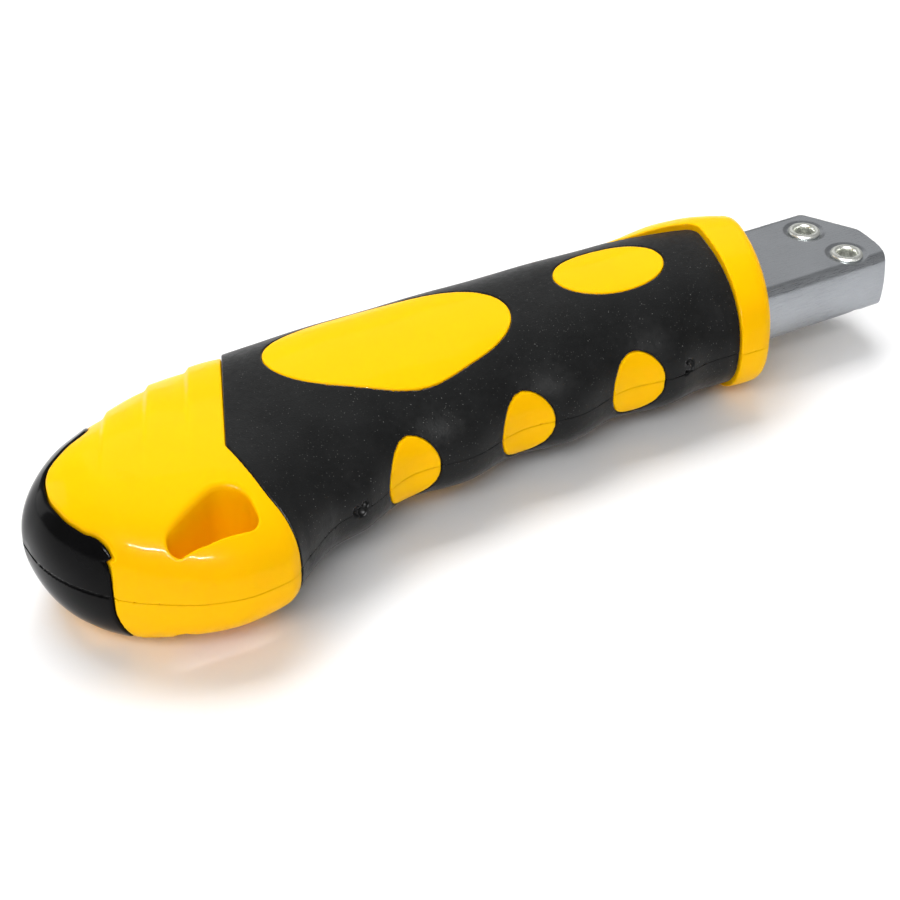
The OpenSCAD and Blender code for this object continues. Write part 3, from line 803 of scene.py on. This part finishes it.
carved("shell_right", body_right_field, (2, -35, 0), (147, 24, 13), FINE,
       "handle", ["body_right"], yellow, (shell, PARTING_GAP))
carved("shell_left", body_left_field, (2, -35, -STEP_LEFT), (147, 24, 0), MEDIUM,
       "handle", ["body_left"], yellow, (shell, -PARTING_GAP))
carved("rubber_right", grip_right_field, (28, -34, 0), (138, 25, 13), FINE,
       "handle", ["grip_right"], rubber_black, (rubber, RUBBER_GAP))
carved("rubber_left", grip_left_field, (28, -34, -STEP_LEFT), (138, 25, 0), MEDIUM,
       "handle", ["grip_left"], rubber_black, (rubber, -RUBBER_GAP))
carved("butt_bumper", tail_cap_field, (-0.2, -30, -13), (20, 16, 13), 0.26,
       "tail_drawer", ["tail_cap"], bumper)
carved("folded_nose", nose_field, (123, -10, -6), (166.2, 14, 6), 0.27,
       "handle", ["nose_shell"], nose_steel)
carved("slider_button", button_field, (31, -5, -12.2), (49, 9, -3), 0.3,
       "button", ["thumb_button"], button_plastic)
lathe("rivet_heads_right", RIVET_PROFILE, RIVETS, False, "handle", ["rivets_right"],
      rivet_steel)
lathe("rivet_heads_left", RIVET_PROFILE, RIVETS, True, "handle", ["rivets_left"],
      rivet_steel)

KEPT = {
    "guide_right": guide_steel, "guide_left": guide_steel, "blade_channel": channel_steel,
    "blade": blade_steel, "blade_carrier": black_plastic, "lock_spring": spring_steel,
    "cap_core": black_plastic, "magazine_tray": tray_plastic, "spare_blades": blade_steel,
    "tray_spring": spring_steel, "body_screws": screw_steel, "screw_inserts": brass,
}
for node, finish in KEPT.items():
    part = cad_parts[node]
    part.data.materials.clear()
    part.data.materials.append(finish)


# ---------------------------------------------------------------- floor and light
def make_floor():
    half = 3.0
    below = -0.00002
    data = bpy.data.meshes.new("floor")
    data.from_pydata([(-half, -half, below), (half, -half, below), (half, half, below),
                      (-half, half, below)], [], [(0, 1, 2, 3)])
    floor = bpy.data.objects.new("floor", data)
    bpy.context.scene.collection.objects.link(floor)
    finish = Finish("floor", Specular_IOR_Level=0.2)
    finish.colour(finish.ramp(finish.noise(60, 2), (0.3, (0.93, 0.93, 0.935)),
                              (0.7, (0.95, 0.95, 0.955))))
    finish.roughness(finish.scaled(finish.noise(40, 2), 0.5, 0.6))
    data.materials.append(finish.material)


def area_light(name, at, aim, size, power, lights=True, mirrored=True):
    """A softbox that lights surfaces, is seen mirrored in them, or both."""
    data = bpy.data.lights.new(name, "AREA")
    data.shape = "RECTANGLE"
    data.size, data.size_y = size
    data.energy = power
    lamp = bpy.data.objects.new(name, data)
    lamp.visible_diffuse = lights
    lamp.visible_glossy = mirrored
    bpy.context.scene.collection.objects.link(lamp)
    lamp.location = Vector(at)
    lamp.rotation_euler = (Vector(aim) - Vector(at)).to_track_quat("-Z", "Y").to_euler()


make_floor()
area_light("behind", (0.05, 0.42, 0.85), (0, 0, 0), (0.9, 0.6), 9.4, mirrored=False)
area_light("front_fill", (-0.42, -0.54, 0.65), (-0.06, -0.02, 0), (0.6, 0.3), 3.7, mirrored=False)
area_light("strip", (-0.42, -0.54, 0.65), (-0.06, -0.02, 0), (0.6, 0.03), 36, lights=False)
area_light("card", (0.6, 1.0, 0.78), (0, 0, 0), (1.2, 0.6), 1.2, lights=False)
area_light("left_window", (-0.5, 0.7, 0.25), (-0.05, 0, 0.01), (0.3, 0.5), 0.6)

world = bpy.data.worlds.new("studio")
bpy.context.scene.world = world
world.use_nodes = True
backdrop = world.node_tree.nodes["Background"].inputs
backdrop["Color"].default_value = (1, 1, 1, 1)
backdrop["Strength"].default_value = 0.35
bpy.context.scene.view_settings.view_transform = "Standard"
